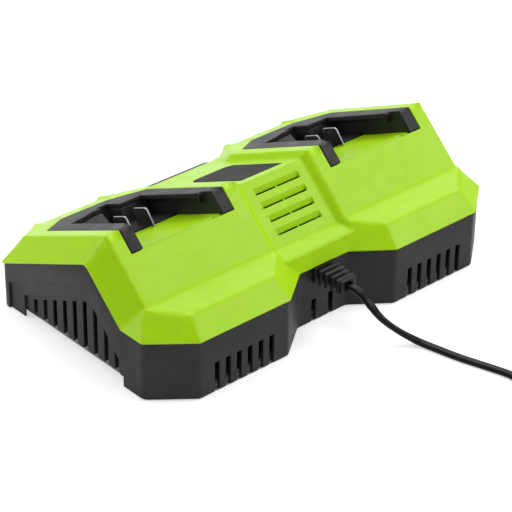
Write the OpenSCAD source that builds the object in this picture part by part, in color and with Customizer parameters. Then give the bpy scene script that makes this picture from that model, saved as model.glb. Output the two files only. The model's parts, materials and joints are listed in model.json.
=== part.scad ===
// Twin-bay battery charger: two slide-in bays on a ridged shell, mains lead at the rear.
// Millimetres. +X runs along the long side, +Y points to the rear, where the lead leaves,
// +Z is up. The origin is the middle of the footprint, on the surface it stands on.

/* [Body] */
// Overall length of the case
body_l = 280; // [276:1:290]
// Overall depth of the case
body_d = 172; // [170:1:178]
// Height of the ridge above the table
ridge_z = 87; // [85:0.5:90]
// Distance of the ridge behind the middle of the case
ridge_y = 19; // [17:0.5:21]
// Fall of the front roof, in degrees
front_slope = 24.5; // [23.5:0.5:25.5]
// Fall of the rear roof, in degrees
rear_slope = 43; // [42:0.5:44]
// Distance of the crease between rear roof and shelf behind the middle
break_y = 54; // [53:0.5:55]
// Wall of the upper shell
shell_wall = 2.6; // [2.2:0.1:3]
// Wall of the lower housing
base_wall = 2.5; // [2.2:0.1:3]
// Height of the seam at the rear
seam_rear = 40; // [38:0.5:42]
// Height of the seam at the front
seam_front = 30; // [28:0.5:32]
// Step of the lower housing behind the lip of the shell
seam_step = 0.8; // [0.5:0.1:1.2]

/* [Bays] */
// Distance of a bay's middle from its end of the case
bay_end = 61; // [60:0.5:62]
// Outer width of a rail frame
frame_w = 78; // [76:0.5:80]
// Thickness of the rail frame's flange
flange_t = 3; // [2.5:0.1:3.5]
// Clear width of the channel below the lips
channel_w = 61; // [59:0.5:62]
// Clear width between the two lips
lip_gap = 53; // [51:0.5:55]
// Depth of the bay floor below the roof
bay_depth = 14.4; // [13.5:0.1:15]
// Running gap around the rail frame
frame_gap = 0.5; // [0.3:0.1:0.8]
// Thickness of a contact blade
blade_t = 1.2; // [1:0.1:1.5]
// Distance between the two contact blades
blade_pitch = 16; // [14:0.5:18]

/* [Vents] */
// Width of a slot in the lower housing
slot_w = 3.6; // [3:0.1:3.9]
// Distance between the slots of a rear wall
rear_slot_pitch = 8.5; // [7:0.5:9]
// Distance between the slots of an end wall
end_slot_pitch = 9.9; // [9:0.1:10.5]
// Number of slots in an end wall
end_slots = 9; // [7:1:9]
// Width of a louvre in the middle panel
louvre_w = 36; // [34:1:38]
// Distance between louvres, measured down the slope
louvre_pitch = 9.3; // [9:0.1:9.6]

/* [Fan] */
// Side of the square fan frame
fan_side = 40; // [38:1:42]
// Depth of the fan frame
fan_depth = 10; // [9:0.5:12]
// Diameter of the fan's fixed shaft
fan_shaft_d = 3; // [2.5:0.5:4]

/* [Board and parts] */
// Length of the main board
board_l = 170; // [160:1:176]
// Depth of the main board
board_d = 88; // [80:1:90]
// Thickness of the main board
board_t = 1.6; // [1.2:0.1:2]
// Height of the board's underside above the table
board_z = 15; // [14:0.5:18]

/* [Lead] */
// Width of the flat twin lead
cord_w = 5.6; // [5.2:0.1:6]
// Thickness of the flat twin lead
cord_t = 3.4; // [3:0.1:3.6]

/* [Hidden] */
$fn = 48;

big = 400;
eps = 0.01;
half_l = body_l / 2;
half_d = body_d / 2;
bay_x = half_l - bay_end;

// Fall per millimetre of each roof face
front_fall = tan(front_slope);
rear_fall = tan(rear_slope);
shelf_fall = tan(7.5);
tail_fall = tan(42);
corner_fall = tan(44);
nose_fall = tan(80);
nose_corner_fall = tan(54);
band_w = 11.6;
plateau_half = bay_end - band_w;
front_band_fall = tan(51);
rear_band_fall = tan(62);
shelf_band_fall = tan(51.5);
inner_front_band_fall = tan(45);
inner_rear_band_fall = tan(50);
break_z = ridge_z - rear_fall * (break_y - ridge_y);

// The seam runs level at the front and rear and rises to a peak along each end, with an
// upright edge of the shell above it
edge_h = 0.6;
seam_drop = band_w * front_band_fall + edge_h;
seam_rise_y = ridge_y - (ridge_z - seam_drop - seam_front) / front_fall;
seam_peak_y = ridge_y - band_w * (rear_band_fall - front_band_fall) / (front_fall + rear_fall);
seam_peak_z = ridge_z - seam_drop - front_fall * (ridge_y - seam_peak_y);
seam_fall_y = seam_peak_y + (seam_peak_z - seam_rear) / rear_fall;

// Plan of the case: corners of the right half, from the front middle to the rear middle
middle_front_y = -half_d + 15;
notch_y = half_d - 18;
tail_half = 35;
notch_half = bay_x - tail_half - 24;
nose_half = 25;
corner_y = half_d - 21;
nose_corner_y = -half_d + 14;
right_plan = [
    [0, middle_front_y], [bay_x - nose_half - 24, middle_front_y], [bay_x - nose_half - 1, -half_d],
    [bay_x + nose_half + 10, -half_d], [half_l, nose_corner_y], [half_l, corner_y],
    [bay_x + tail_half, half_d], [bay_x - tail_half, half_d], [notch_half, notch_y], [0, notch_y]
];
middle_drop_front = 4.2;
middle_drop_rear = 5;
middle_break_y = break_y - 2.3;
middle_break_z = ridge_z - middle_drop_rear - rear_fall * (middle_break_y - ridge_y);
middle_tail_fall = tan(65);
middle_half = bay_x - 41;

// Bay positions, measured along the front roof from the ridge (minus is towards the front)
frame_half = frame_w / 2;
front_s = -(ridge_y + half_d) / cos(front_slope);
shoulder_s = front_s + 36.4;
cheek_s = front_s + 24.9;
cheek_half = 23.5;
tip_s = front_s + 20.4;
tip_half = 18;
mouth_s = front_s + 46.4;
mouth_side_s = mouth_s - 2;
step_s = mouth_s - 4.5;
key_side_s = mouth_s - 9.5;
lip_end_s = -8.2;
block_rear_s = front_s + 74.4;
arm_l = 15.4;
wall_t = 2.5;
block_front_s = front_s + 27.4;
block_bottom = -18;
pocket_s = front_s + 31.4;
lip_side = lip_gap / 2;
channel_half = channel_w / 2;
led_s = front_s + 14.5;
led_x = [16.5, -5.6];
led_w = 6.2;
led_h = 3.6;

tray_t = 2.2;
tray_half = channel_half + wall_t + frame_gap;
scoop_half = 24;
scoop_y = -half_d + 17.5;
scoop_sink = 0.085;
louvre_first = 5;
louvre_count = 4;
louvre_h = 4.5;
vane_h = 3.3;
vane_drop = 1.9;

// Case screws: hollow posts of the shell meet the bosses of the housing
boss_d = 9;
boss_top = 24;
screw_d = 3;
screw_bite = 12;
screw_room = 0.4;
boss_x = half_l - 22;
near_boss_x = bay_x - 47;
boss_places = [
    [boss_x, half_d - 48], [boss_x, 39.5 - half_d], [near_boss_x, 28 - half_d],
    [-near_boss_x, 28 - half_d], [-boss_x, 39.5 - half_d], [-boss_x, half_d - 48]
];

// Points on a corner arc of a rounded outline
function unit(v) = v / norm(v);
function turn(a, b, c) = (b[0] - a[0]) * (c[1] - b[1]) - (b[1] - a[1]) * (c[0] - b[0]);
function corner_arc(a, b, c, r, steps) =
    let(
        u = unit(a - b),
        w = unit(c - b),
        half = acos(max(-1, min(1, u * w))) / 2,
        reach = r / tan(half),
        centre = b + unit(u + w) * r / sin(half),
        start = b + u * reach - centre,
        sweep = (180 - 2 * half) * (turn(a, b, c) > 0 ? 1 : -1)
    )
    [for (i = [0 : steps]) centre + [
        start[0] * cos(sweep * i / steps) - start[1] * sin(sweep * i / steps),
        start[0] * sin(sweep * i / steps) + start[1] * cos(sweep * i / steps)
    ]];
function rounded(points, r, steps = 4) =
    let(n = len(points))
    [for (i = [0 : n - 1]) each corner_arc(points[(i + n - 1) % n], points[i],
        points[(i + 1) % n], r, steps)];
// Outline moved inwards by d; the points run anticlockwise
function inset_point(a, b, c, d) =
    let(
        u = unit(b - a),
        w = unit(c - b),
        n1 = [-u[1], u[0]],
        n2 = [-w[1], w[0]]
    )
    b + (n1 + n2) * d / (1 + n1 * n2);
function inset(points, d) =
    let(n = len(points))
    [for (i = [0 : n - 1]) inset_point(points[(i + n - 1) % n], points[i],
        points[(i + 1) % n], d)];
function mirrored(points) = [for (i = [len(points) - 1 : -1 : 0]) [-points[i][0], points[i][1]]];
// Whole plan, anticlockwise, without the two points on the middle line
function whole_plan(points) = concat(
    [for (i = [1 : len(points) - 2]) points[i]],
    mirrored([for (i = [1 : len(points) - 2]) points[i]])
);
case_plan = whole_plan(right_plan);

small_screw_d = 2.4;
small_screw_bite = 8;

// Ears of a terminal block, and the block's own steps
ear_x = 39.4;
ear_s = front_s + 55.4;
block_top = -13.4;
ear_top = -bay_depth - tray_t - 0.1;
key_slot = [-10, -2];
blade_front_s = front_s + 63.4;
blade_tail_s = blade_front_s + 5.5;
blade_top = -2;
blade_low = -21;

// Housing: its plan, floor, feet, recesses and slots
housing_plan = inset(case_plan, seam_step);
foot_lift = 0.8;
floor_z = 6;
floor_t = 2.5;
foot_d = 13;
foot_h = 3.4;
foot_places = [
    [boss_x, half_d - 24], [boss_x, 26 - half_d], [-boss_x, 26 - half_d], [-boss_x, half_d - 24]
];
pad_t = 3.6;
recess_t = 1.4;
end_slot_first = -half_d + 43.5;
rear_slot_top = 21;
notch_slot_top = 16.5;
notch_slot_x = 7.1;
front_panel_t = 4.5;
front_panel_half = bay_x - 52;

// Light pipes and their boards
pipe_top = -0.5;
pipe_end = -9;
peg_d = 3;
light_board_top = -12;
light_board_t = 1.2;
light_board_w = 44;
light_board_h = 12;
light_board_x = 6;
light_peg_x = [-13, 24];

// Blank plate in the middle panel
plate_t = 0.8;
plate_w = 34;
plate_top_s = -9.5;
plate_l = 54;

// Board layout
board_top = board_z + board_t;
board_y = -6;
board_posts = [[76, 30], [76, -42], [-76, -42], [-76, 30]];
core_w = 34;
core_d = 14;
core_h = 30;
core_leg = 10;
window_w = 6;
window_h = 18;
core_x = -10;
core_y = -12;
sink_w = 34;
sink_h = 15;
sink_places = [[-58, 8], [40, -34]];

// Fan, measured down the rear roof from the ridge
fan_gap = 1.5;
fan_bore_d = fan_side - 3;
fan_hub_d = 18;
fan_play = 0.04;
fan_s = louvre_first + ((louvre_count - 1) * louvre_pitch + louvre_h) / 2;
fan_hole = fan_side / 2 - 4;
fan_low = -shell_wall - fan_gap - fan_depth;
rotor_low = 2.6;
rotor_h = fan_depth - rotor_low - 0.6;

// Strain relief and the route of the lead down to the table and away to the coil
lead_z = 34.5;
relief_w = 13.4;
relief_h = 9.4;
relief_out = 23;
relief_ribs = 5;
relief_y = notch_y - seam_step;
lie_z = cord_t / 2 + 0.05;
cord_route = [
    [0, relief_y + relief_out, lead_z], [0, 93, lead_z], [-0.3, 96, 34.2], [-0.5, 99, 33.6],
    [-0.6, 102, 32.5], [-0.6, 105, 30.9], [-0.7, 107.8, 28.9], [-1.2, 110, 27],
    [-1.9, 111.8, 24.9], [-3, 113.5, 22.8], [-4.3, 115, 20.7], [-6.2, 116.4, 18.3],
    [-8.4, 117.8, 15.8], [-11.2, 119.2, 13], [-14, 120.7, 10.3], [-17, 122.4, 7.7],
    [-19.8, 124.4, 5.4], [-22.3, 127.2, 3.5], [-24.5, 131, 2.3], [-26.2, 136, lie_z],
    [-27.5, 141.5, lie_z], [-28.9, 148, lie_z], [-31.2, 157, lie_z], [-34.4, 167, lie_z],
    [-37.6, 177, lie_z], [-40.4, 187, lie_z], [-40.7, 197, 1.9], [-40, 207, 2.3],
    [-38.5, 216, 2.55]
];

// Coil, its tie, the tail that curls over its top, and the plug
coil_centre = [-74.5, 223];
tie_t = 0.8;
tie_angle = 250;
coil_low = tie_t;
coil_in = 19.2;
coil_w = 20.4;
coil_out = coil_in + coil_w;
coil_layers = 3;
coil_h = coil_layers * cord_t + 0.3;
coil_top = coil_low + coil_h;
plug_h = 13.6;
plug_l = 35;
plug_w = 35.2;
plug_neck_l = 13;
plug_mid = plug_h / 2 + 0.1;
tail_route = [
    [20, 9.1, 1.9], [18.6, 11.7, 2.8], [16.9, 14.2, 3.8], [14.8, 16.3, 4.8], [12.3, 18.1, 5.7],
    [9.6, 19.7, 6.5], [6.6, 20.4, plug_mid], [3.5, 20.4, plug_mid]
];
plug_at = [coil_centre[0] + 3.5, coil_centre[1] + 20.4, coil_top + plug_mid];

// Everything above a sloping plane that passes through a point, moved in by inset
module above(point, fall_x, fall_y, inset = 0) {
    steep = atan(sqrt(fall_x * fall_x + fall_y * fall_y));
    heading = atan2(fall_y, fall_x);
    translate(point) rotate([0, 0, heading]) rotate([0, steep, 0])
        translate([-big, -big, -inset]) cube(2 * big);
}

// Block of one half that carries the ridge, the two main slopes and their end bands
module ridge_block(inset) {
    ridge = [0, ridge_y, ridge_z];
    outer = [plateau_half, ridge_y, ridge_z];
    inner = [-plateau_half, ridge_y, ridge_z];
    difference() {
        translate([-bay_x - 1, -half_d - 5, 0])
            cube([half_l + 6, half_d + seam_fall_y + 17, ridge_z + 5]);
        above(ridge, 0, -front_fall, inset);
        above(ridge, 0, rear_fall, inset);
        above(outer, front_band_fall, -front_fall, inset);
        above(outer, rear_band_fall, rear_fall, inset);
        above(inner, -inner_front_band_fall, -front_fall, inset);
        above(inner, -inner_rear_band_fall, rear_fall, inset);
        above([0, -half_d, seam_front + edge_h], 0, -nose_fall, inset);
        above([bay_end, nose_corner_y, seam_front + 1.5], 0.475 * nose_corner_fall,
            -0.88 * nose_corner_fall, inset);
        above([-nose_half - 1, -half_d + 1, seam_front + 10], -0.62 * nose_corner_fall,
            -0.785 * nose_corner_fall, inset);
    }
}

// Block of one half that carries the shelf, the rear face and its corner facets
module shelf_block(inset) {
    outer_n = unit([half_d - corner_y, bay_end - tail_half]);
    inner_n = unit([-(half_d - notch_y), bay_x - tail_half - notch_half]);
    difference() {
        translate([-bay_x - 1, 1, 0]) cube([half_l + 6, half_d + 5, ridge_z]);
        above([0, break_y, break_z], 0, shelf_fall, inset);
        above([0, half_d, seam_rear + edge_h], 0, tail_fall, inset);
        above([bay_end, 0, seam_rear + edge_h], shelf_band_fall, 0, inset);
        above([-plateau_half, break_y, break_z], -inner_rear_band_fall, shelf_fall, inset);
        above([tail_half, half_d, seam_rear + edge_h], outer_n[0] * corner_fall,
            outer_n[1] * corner_fall, inset);
        above([-tail_half, half_d, seam_rear + edge_h], inner_n[0] * corner_fall,
            inner_n[1] * corner_fall, inset);
    }
}

// Lower middle part between the two halves
module middle_block(inset) {
    difference() {
        translate([-middle_half, -half_d, 0]) cube([2 * middle_half, half_d + break_y + 2, ridge_z]);
        above([0, ridge_y, ridge_z - middle_drop_front], 0, -front_fall, inset);
        above([0, ridge_y, ridge_z - middle_drop_rear], 0, rear_fall, inset);
    }
    difference() {
        translate([-middle_half, 2, 0]) cube([2 * middle_half, half_d, ridge_z]);
        above([0, middle_break_y, middle_break_z], 0, shelf_fall, inset);
        above([0, notch_y, seam_rear + edge_h], 0, middle_tail_fall, inset);
    }
}

// Solid of the whole case above the seam, moved in by inset
module case_form(inset) {
    for (side = [0, 1])
        mirror([side, 0, 0]) translate([bay_x, 0, 0]) {
            ridge_block(inset);
            shelf_block(inset);
        }
    middle_block(inset);
}

// Everything below the seam, moved down by drop
module below_seam(drop = 0) {
    rotate([90, 0, 90])
        translate([0, -drop, -big / 2])
            linear_extrude(big) polygon([
                [-big, -big], [big, -big], [big, seam_rear], [seam_fall_y, seam_rear],
                [seam_peak_y, seam_peak_z], [seam_rise_y, seam_front], [-big, seam_front]
            ]);
}

// Frame of a bay: origin on the ridge, +Y up the front roof, +Z out of it
module on_front_roof(x = 0, drop = 0) {
    translate([x, ridge_y, ridge_z - drop]) rotate([front_slope, 0, 0]) children();
}
module on_rear_roof(x = 0, drop = 0) {
    translate([x, ridge_y, ridge_z - drop]) rotate([-rear_slope, 0, 0]) children();
}

// Band along both roofs, from low to high above them, up to rear behind the ridge
module roof_band(half, low, high, rear) {
    up = [cos(front_slope), sin(front_slope)];
    down = [cos(rear_slope), -sin(rear_slope)];
    front_n = [-up[1], up[0]];
    rear_n = [-down[1], down[0]];
    bend = (front_n + rear_n) / (1 + front_n * rear_n);
    translate([-half, ridge_y, ridge_z])
        rotate([90, 0, 90]) linear_extrude(2 * half) polygon([
            front_n * low - up * body_d, bend * low, down * rear + rear_n * low,
            down * rear + rear_n * high, bend * high, front_n * high - up * body_d
        ]);
}

// Prism on the front roof that holds the front outline of a rail frame's flange, grown by g;
// its sides lie outside those of the flange
module flange_prism(g) {
    over = 4;
    side = frame_half + g + over;
    rise = (shoulder_s - cheek_s + g / 2) / (frame_half - cheek_half + g / 2);
    side_s = shoulder_s - g / 2 + over * rise;
    on_front_roof() translate([0, 0, -40]) linear_extrude(80) polygon([
        [side, 60], [-side, 60], [-side, side_s], [-cheek_half - g / 2, cheek_s - g],
        [-tip_half, tip_s - g], [tip_half, tip_s - g], [cheek_half + g / 2, cheek_s - g],
        [side, side_s]
    ]);
}

// Open mouth inside the flange, between the lips
module flange_mouth() {
    polygon([
        [-lip_side, lip_end_s - 3], [-lip_side, mouth_s], [-10, mouth_s], [-10, pocket_s],
        [-2, pocket_s], [-2, key_side_s], [5, key_side_s], [15, step_s], [lip_side, mouth_side_s],
        [lip_side, lip_end_s - 3]
    ]);
}

// Channel between the walls of a rail frame: open above only behind the ends of the lips
module frame_channel() {
    intersection() {
        translate([-channel_half, -big / 2, 0]) cube([2 * channel_half, big, big]);
        on_front_roof() {
            translate([-big / 2, -big / 2, -flange_t - 60]) cube([big, big, 60]);
            translate([0, 0, -flange_t - 1]) linear_extrude(60) polygon([
                [channel_half + 5, 60], [-channel_half - 5, 60],
                [-channel_half - 5, lip_end_s + 5], [-lip_side, lip_end_s - 4],
                [lip_side, lip_end_s - 4], [channel_half + 5, lip_end_s + 5]
            ]);
        }
    }
}

// Plan of a bay below the flange: straight sides, front corners cut like the flange's
module bay_plan(half, g, rear) {
    corner = 24;
    side_s = shoulder_s - 1.5 - g;
    polygon([
        [half, rear], [-half, rear], [-half, side_s], [-corner - g, block_front_s - g],
        [corner + g, block_front_s - g], [half, side_s]
    ]);
}

// Space that one bay takes out of the shell
module bay_pocket() {
    intersection() {
        roof_band(frame_half + frame_gap, -flange_t - 0.1, 20, arm_l + frame_gap);
        flange_prism(frame_gap);
    }
    on_front_roof() intersection() {
        translate([0, 0, -big / 8]) linear_extrude(big / 4) bay_plan(tray_half, frame_gap, 30);
        union() {
            translate([-big / 2, -big / 2, -bay_depth]) cube(big);
            translate([-big / 2, block_rear_s - big, -big / 2]) cube(big);
        }
    }
}

// Tray of a bay, cut by bay_pocket(): ledge below the flange, side skirts and floor
module bay_tray() {
    intersection() {
        union() {
            intersection() {
                roof_band(frame_half + frame_gap + tray_t, -flange_t - tray_t, -2,
                    arm_l + tray_t);
                flange_prism(frame_gap + tray_t);
            }
            on_front_roof() {
                translate([0, 0, -bay_depth - tray_t])
                    linear_extrude(bay_depth) bay_plan(tray_half + tray_t, tray_t, 30);
                for (side = [-1, 1]) translate([side * ear_x, ear_s, ear_top])
                    cylinder(d = 6.4, h = -ear_top - flange_t);
            }
        }
        case_form(shell_wall / 2);
    }
}

// Slot with a sloping vane that leaves a narrow gap at its lower edge
module louvre_cut(s) {
    rib = 1.2;
    on_rear_roof(0, middle_drop_rear) translate([0, s, 0]) rotate([90, 0, 90]) {
        for (x = [rib / 2, -louvre_w / 2])
            translate([0, 0, x]) linear_extrude(louvre_w / 2 - rib / 2)
                translate([vane_h, -shell_wall - 2]) square([louvre_h - vane_h, shell_wall + 3]);
        translate([0, 0, -louvre_w / 2]) linear_extrude(louvre_w) polygon([
            [0, 0], [vane_h, -vane_drop], [louvre_h, -vane_drop], [louvre_h, 1], [0, 1]
        ]);
    }
}

module shell_posts() {
    intersection() {
        for (p = boss_places)
            translate([p[0], p[1], boss_top]) cylinder(d = boss_d, h = ridge_z);
        case_form(shell_wall / 2);
    }
}

// Upper shell with its trays, screw posts, vents, windows and the seat of the name plate
module upper_shell() {
    color([0.65, 0.86, 0.1]) difference() {
        union() {
            difference() {
                intersection() {
                    case_form(0);
                    linear_extrude(big) polygon(rounded(case_plan, 3));
                }
                intersection() {
                    case_form(shell_wall);
                    linear_extrude(big) polygon(inset(case_plan, shell_wall));
                }
                below_seam();
            }
            shell_posts();
            for (side = [-1, 1]) {
                translate([side * bay_x, 0, 0]) bay_tray();
                light_pegs(side * bay_x);
            }
            fan_posts();
        }
        for (side = [-1, 1]) translate([side * bay_x, 0, 0]) {
            bay_pocket();
            on_front_roof() {
                for (x = led_x) translate([x, led_s, 0])
                    oblong(led_w, led_h, -shell_wall - 1, 5);
                for (end = [-1, 1]) translate([end * ear_x, ear_s, ear_top - 1])
                    cylinder(d = small_screw_d, h = small_screw_bite + 1);
            }
            intersection() {
                above([0, scoop_y, ridge_z + (scoop_y - ridge_y) * front_fall], 0,
                    -front_fall - scoop_sink);
                translate([-scoop_half, -half_d, 0]) cube([2 * scoop_half, half_d, ridge_z]);
            }
        }
        for (i = [0 : louvre_count - 1]) louvre_cut(louvre_first + i * louvre_pitch);
        for (p = boss_places)
            translate([p[0], p[1], boss_top - 1]) cylinder(d = screw_d, h = screw_bite + 2);
        on_front_roof(0, middle_drop_front)
            translate([0, 0, plate_t - 1.4]) linear_extrude(5) plate_outline(0.2);
    }
}

// Height of the seam at a place along the end wall
function seam_z(y) = y < seam_rise_y ? seam_front
    : y < seam_peak_y ? seam_front + (y - seam_rise_y) * front_fall
    : y < seam_fall_y ? seam_peak_z - (y - seam_peak_y) * rear_fall
    : seam_rear;
function slot_top(y) = seam_z(y) - (y < seam_peak_y ? 27 : 29.5);

// Prism cut into the outer face of an end wall; its outline is given as [y, z] points
module end_wall_prism(points, depth) {
    translate([half_l - seam_step - depth, 0, 0])
        rotate([90, 0, 90]) linear_extrude(depth + 5) polygon(points);
}

// Two stepped recesses, the row of slots and the raised edge between the feet
module end_wall_cuts() {
    wide = half_d - 20;
    narrow = half_d - 34;
    rear_y = half_d - 40;
    end_wall_prism([
        [-wide, -5], [rear_y, -5], [rear_y, 16], [seam_peak_y + 2, seam_peak_z - 17],
        [seam_peak_y - 2, seam_peak_z - 15], [-wide, seam_z(-wide) - 14]
    ], recess_t);
    end_wall_prism([
        [-narrow, -5], [rear_y - 4, -5], [rear_y - 5, 15], [seam_peak_y + 2, seam_peak_z - 26],
        [seam_peak_y - 3, seam_peak_z - 25], [-narrow, seam_z(-narrow) - 23.5]
    ], 2 * recess_t);
    for (i = [0 : end_slots - 1]) {
        low_y = end_slot_first + i * end_slot_pitch - slot_w / 2;
        end_wall_prism([
            [low_y, -5], [low_y + slot_w, -5], [low_y + slot_w, slot_top(low_y + slot_w)],
            [low_y, slot_top(low_y)]
        ], base_wall + pad_t + 1);
    }
    translate([half_l - 25, -rear_y - 1, -5]) cube([30, 2 * rear_y + 1, floor_z + 5]);
}

// Slots through the rear walls and the wall of the notch, open at the lower edge
module rear_wall_slots() {
    for (side = [-1, 1], i = [-2.5 : 1 : 2.5])
        translate([side * bay_x + i * rear_slot_pitch - slot_w / 2, half_d - 8, -5])
            cube([slot_w, 12, rear_slot_top + 5]);
    for (side = [-1, 1])
        translate([side * notch_slot_x - slot_w / 2, notch_y - 6, -5])
            cube([slot_w, 12, notch_slot_top + 5]);
}

// Panel in front of the lower middle roof, level with it, on a rail of the housing
module front_panel() {
    difference() {
        union() {
            translate([-front_panel_half, middle_front_y - front_panel_t, foot_lift])
                cube([2 * front_panel_half, front_panel_t - 0.1, ridge_z]);
            translate([-front_panel_half, middle_front_y - 1, foot_lift])
                cube([2 * front_panel_half, 3, seam_front - foot_lift - 0.1]);
        }
        above([0, ridge_y, ridge_z - middle_drop_front], 0, -front_fall);
    }
}
module hollow_post(p, d, bore, low, high) {
    translate([p[0], p[1], low]) difference() {
        cylinder(d = d, h = high - low);
        translate([0, 0, -1]) cylinder(d = bore, h = high - low + 2);
    }
}

// Tub with a raised floor, slotted walls, bosses for screws and feet, and posts for the board
module lower_housing() {
    color([0.17, 0.17, 0.18]) {
        difference() {
            union() {
                difference() {
                    linear_extrude(big / 2) polygon(rounded(housing_plan, 6));
                    translate([0, 0, floor_z + floor_t])
                        linear_extrude(big / 2) polygon(inset(housing_plan, base_wall));
                    translate([0, 0, -1]) linear_extrude(floor_z + 1)
                        polygon(inset(housing_plan, base_wall));
                }
                for (side = [0, 1]) mirror([side, 0, 0])
                    translate([half_l - seam_step - base_wall - pad_t, 28 - half_d, floor_z])
                        cube([pad_t + 1, body_d - 64, seam_peak_z]);
                for (p = foot_places) translate([p[0], p[1], foot_lift])
                    cylinder(d = foot_d + 5, h = floor_z - foot_lift + 0.5);
            }
            difference() {
                translate([-big / 2, -big / 2, seam_front - 5]) cube(big);
                below_seam();
            }
            for (side = [0, 1]) mirror([side, 0, 0]) end_wall_cuts();
            rear_wall_slots();
            translate([-big / 2, -big / 2, foot_lift - big]) cube(big);
            for (p = foot_places) translate([p[0], p[1], -1]) cylinder(d = foot_d, h = foot_h + 1);
            for (p = boss_places)
                translate([p[0], p[1], 0]) cylinder(d = screw_d + screw_room, h = boss_top);
            translate([-relief_w / 2, notch_y - 8, lead_z - relief_h / 2])
                cube([relief_w, 12, relief_h]);
        }
        front_panel();
        for (p = boss_places)
            hollow_post(p, boss_d, screw_d + screw_room, floor_z + floor_t - 0.5, boss_top);
        for (p = board_posts)
            hollow_post(p, 7, small_screw_d, floor_z + floor_t - 0.5, board_z);
    }
}

// Pan-head screw with a cross slot, head down at the origin and shank up
module cross_screw(d, l, head_d, head_h) {
    difference() {
        union() {
            translate([0, 0, -head_h]) cylinder(d = head_d, h = head_h);
            cylinder(d = d, h = l);
        }
        for (a = [0, 90]) rotate([0, 0, a])
            translate([-head_d * 0.3, -head_d * 0.06, -head_h - 1])
                cube([head_d * 0.6, head_d * 0.12, head_h * 0.5 + 1]);
    }
}
module case_screws() {
    color([0.62, 0.62, 0.6]) for (p = boss_places) translate([p[0], p[1], floor_z])
        cross_screw(screw_d, boss_top - floor_z + screw_bite, 6.4, 2.4);
}
module rubber_feet() {
    color([0.12, 0.12, 0.12]) for (p = foot_places)
        translate([p[0], p[1], 0]) cylinder(d = foot_d, h = foot_h);
}

// Rail frame: flange on the roof, lips over the channel, side walls, hooks and two rear arms
module rail_frame() {
    difference() {
        union() {
            difference() {
                union() {
                    intersection() {
                        roof_band(frame_half, -flange_t, 4, arm_l + 5);
                        flange_prism(0);
                    }
                    on_front_roof() translate([-channel_half - wall_t, shoulder_s, 0.1 - bay_depth])
                        cube([2 * (channel_half + wall_t), 30 - shoulder_s, bay_depth - 1]);
                }
                frame_channel();
                on_front_roof() translate([0, 0, -flange_t - 1])
                    linear_extrude(flange_t + 8) flange_mouth();
            }
            on_front_roof() for (side = [0, 1]) mirror([side, 0, 0])
                translate([lip_side + 0.6, lip_end_s, -0.8]) rotate([-20, 0, 0])
                    translate([0, -2.4, -6]) cube([channel_half - lip_side, 2.4, 6]);
        }
        above([0, ridge_y, ridge_z], 0, -front_fall);
        above([0, ridge_y, ridge_z], 0, rear_fall);
        on_rear_roof() translate([-big / 2, arm_l, -big / 2]) cube(big);
    }
}
module rail_frame_left() {
    color([0.2, 0.2, 0.22]) translate([-bay_x, 0, 0]) rail_frame();
}
module rail_frame_right() {
    color([0.2, 0.2, 0.22]) translate([bay_x, 0, 0]) rail_frame();
}

// One stretch of the block's front, with a face that falls from top_s to foot_s
module cheek(x_low, x_high, top_s, foot_s) {
    intersection() {
        translate([x_low, 0, 0]) rotate([90, 0, 90]) linear_extrude(x_high - x_low) polygon([
            [block_front_s, block_bottom], [foot_s, block_bottom], [foot_s, block_top],
            [top_s, -flange_t - 0.1], [block_front_s, -flange_t - 0.1]
        ]);
        block_prism(0);
    }
}
module block_prism(high) {
    translate([0, 0, block_bottom])
        linear_extrude(high - block_bottom) bay_plan(channel_half - 0.2, 0, block_rear_s - 0.3);
}

// Terminal block at the low end of a bay: plinth, cheeks around a key slot, and screw ears
module terminal_block() {
    half = channel_half - 0.2;
    on_front_roof() difference() {
        union() {
            block_prism(block_top);
            cheek(-half, key_slot[0], mouth_s, mouth_s);
            cheek(key_slot[0], key_slot[1], pocket_s, pocket_s);
            cheek(key_slot[1], 5, key_side_s, mouth_s);
            cheek(5, 15, (key_side_s + step_s) / 2, mouth_s);
            cheek(15, half, step_s + 0.5, mouth_s);
            translate([-ear_x - 3.2, ear_s - 4, ear_top - 2])
                cube([2 * ear_x + 6.4, 8, 1.9]);
        }
        for (x = [-blade_pitch / 2, blade_pitch / 2])
            translate([x - blade_t / 2, blade_front_s, block_bottom - 3])
                cube([blade_t, block_rear_s - blade_front_s, 30]);
        for (side = [-1, 1]) translate([side * ear_x, ear_s, ear_top - 3])
            cylinder(d = small_screw_d + screw_room, h = 5);
    }
}
module terminal_block_left() {
    color([0.1, 0.1, 0.11]) translate([-bay_x, 0, 0]) terminal_block();
}
module terminal_block_right() {
    color([0.1, 0.1, 0.11]) translate([bay_x, 0, 0]) terminal_block();
}
module block_screws() {
    color([0.62, 0.62, 0.6]) for (bay = [-bay_x, bay_x]) on_front_roof(bay)
        for (side = [-1, 1]) translate([side * ear_x, ear_s, ear_top - 2])
            cross_screw(small_screw_d, small_screw_bite + 1.9, 5, 1.8);
}

// Upright contact blade, rounded at its upper rear corner, with a tail for the lead below
module contact_blade() {
    r = 2.5;
    rear_top = block_rear_s + 3.4;
    rear_foot = rear_top + 3.1;
    rotate([90, 0, 90]) linear_extrude(blade_t) polygon(concat(
        [[blade_front_s, block_bottom], [blade_tail_s - 2.5, block_bottom],
        [blade_tail_s - 2.5, blade_low], [blade_tail_s + 2.5, blade_low],
        [blade_tail_s + 2.5, block_bottom], [block_rear_s - 0.6, block_bottom],
        [block_rear_s - 0.6, -bay_depth + 0.3], [rear_foot, -bay_depth + 0.3]],
        [for (a = [10 : 16 : 90]) [rear_top - r + r * cos(a), blade_top - r + r * sin(a)]],
        [[blade_front_s + 1.5, blade_top], [blade_front_s, blade_top - 1.5]]
    ));
}
module contact_blades() {
    on_front_roof() for (x = [-blade_pitch / 2, blade_pitch / 2])
        translate([x - blade_t / 2, 0, 0]) contact_blade();
}
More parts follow.
